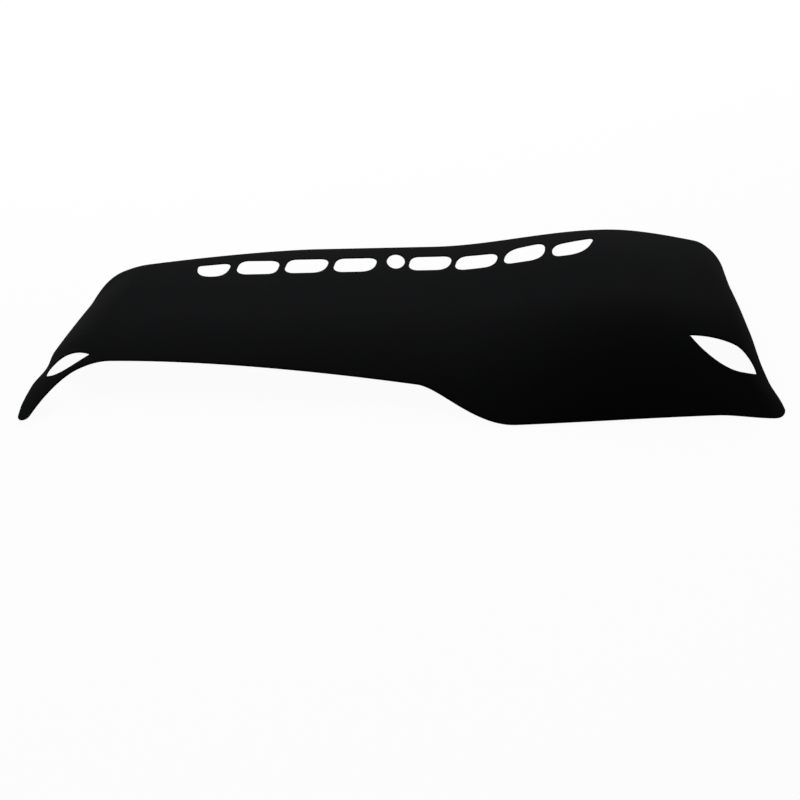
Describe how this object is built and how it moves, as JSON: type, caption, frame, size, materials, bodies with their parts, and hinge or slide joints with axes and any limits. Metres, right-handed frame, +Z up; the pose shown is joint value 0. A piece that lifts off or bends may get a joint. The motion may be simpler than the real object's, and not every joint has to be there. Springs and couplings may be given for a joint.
{
  "type": "dashboard cover mat",
  "caption": "Formed black felt cover that lies on a car's dashboard, with demister slots, a sensor hole and leaf-shaped openings for the side vents.",
  "frame": {"origin": "centre of the mat's box on the ground that it rests on", "axes": "+X along the mat towards the instrument hood's end, +Y towards the windscreen, +Z up out of the covered side"},
  "size_m": [1.436, 0.485, 0.094],
  "materials": {
    "needled_felt": "matte needle-punched felt"
  },
  "bodies": {
    "root": {"dashboard_mat": "needled_felt"}
  },
  "joints": []
}
